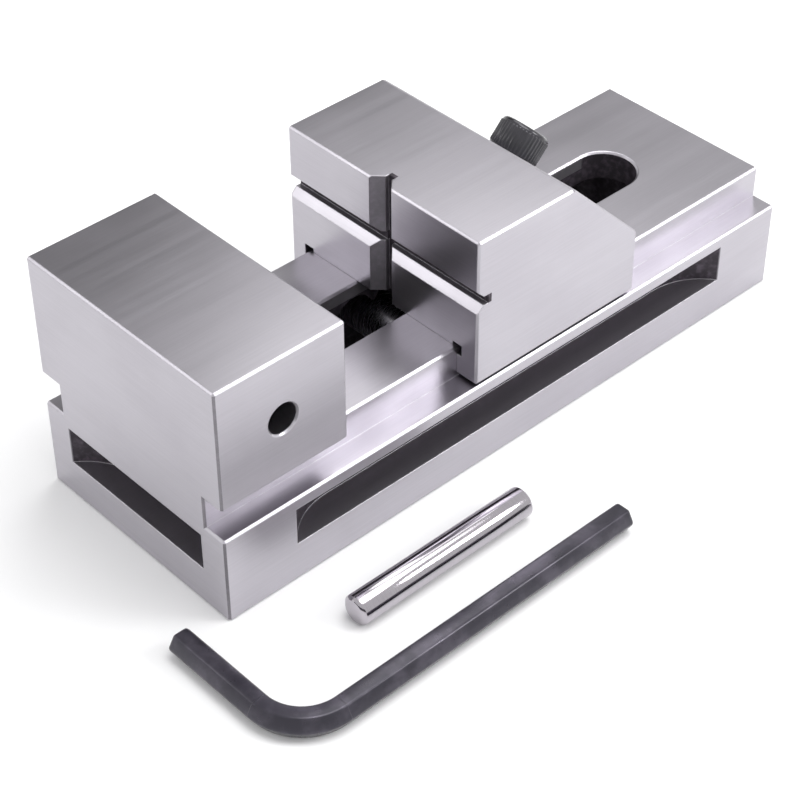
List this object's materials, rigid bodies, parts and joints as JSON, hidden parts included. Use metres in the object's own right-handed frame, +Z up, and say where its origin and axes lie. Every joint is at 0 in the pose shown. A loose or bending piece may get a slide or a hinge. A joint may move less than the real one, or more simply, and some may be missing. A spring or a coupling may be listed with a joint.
{
  "type": "machine vise",
  "caption": "Ground toolmaker's vise with a stepped base, a notched rail slot, a moving jaw drawn down by a slanted socket screw, and its stop pin and hex key.",
  "frame": {"origin": "centre of the vise base, at the level the base stands on", "axes": "+X along the vise from the fixed jaw to the open end, +Y across it away from the stop pin and hex key, +Z up"},
  "size_m": [0.1943, 0.1037, 0.064],
  "materials": {
    "ground_steel": "surface ground hardened steel, fine grinding lines",
    "black_oxide": "black oxide over drawn steel, lightly oiled",
    "polished_steel": "centreless ground and polished",
    "spring_steel": "drawn spring wire, lightly oiled",
    "turned_steel": "turned and hardened steel"
  },
  "bodies": {
    "vise": {"vise_body": "ground_steel"},
    "jaw": {"moving_jaw": "ground_steel", "conical_seat": "turned_steel", "spherical_washer": "turned_steel", "bar_spring": "spring_steel"},
    "screw": {"clamp_screw": "black_oxide", "retaining_ring": "spring_steel"},
    "bar": {"pull_bar": "turned_steel"},
    "pin": {"stop_pin": "polished_steel"},
    "key": {"hex_key": "black_oxide"}
  },
  "joints": [
    {"name": "jaw_slide", "type": "slide", "parent": "vise", "child": "jaw", "axis": [1, 0, 0], "range_m": [-0.0384, 0.0512]},
    {"name": "screw_turn", "type": "hinge", "parent": "jaw", "child": "screw", "pos_m": [0.0261, 0, 0.0521], "axis": [-0.7071, 0, -0.7071], "range_deg": [0, 1800]},
    {"name": "bar_pull", "type": "slide", "parent": "jaw", "child": "bar", "axis": [0.7071, 0, 0.7071], "range_m": [0, 0.00625], "deforming": ["bar_spring"]},
    {"name": "stop_pin_lift", "type": "slide", "parent": "vise", "child": "pin", "axis": [0, 0, 1], "range_m": [0, 0.1]},
    {"name": "hex_key_lift", "type": "slide", "parent": "vise", "child": "key", "axis": [0, 0, 1], "range_m": [0, 0.1]}
  ],
  "couplings": [
    {"joint": "screw_turn", "follows": "bar_pull", "rad_per_m": 5026.5}
  ]
}
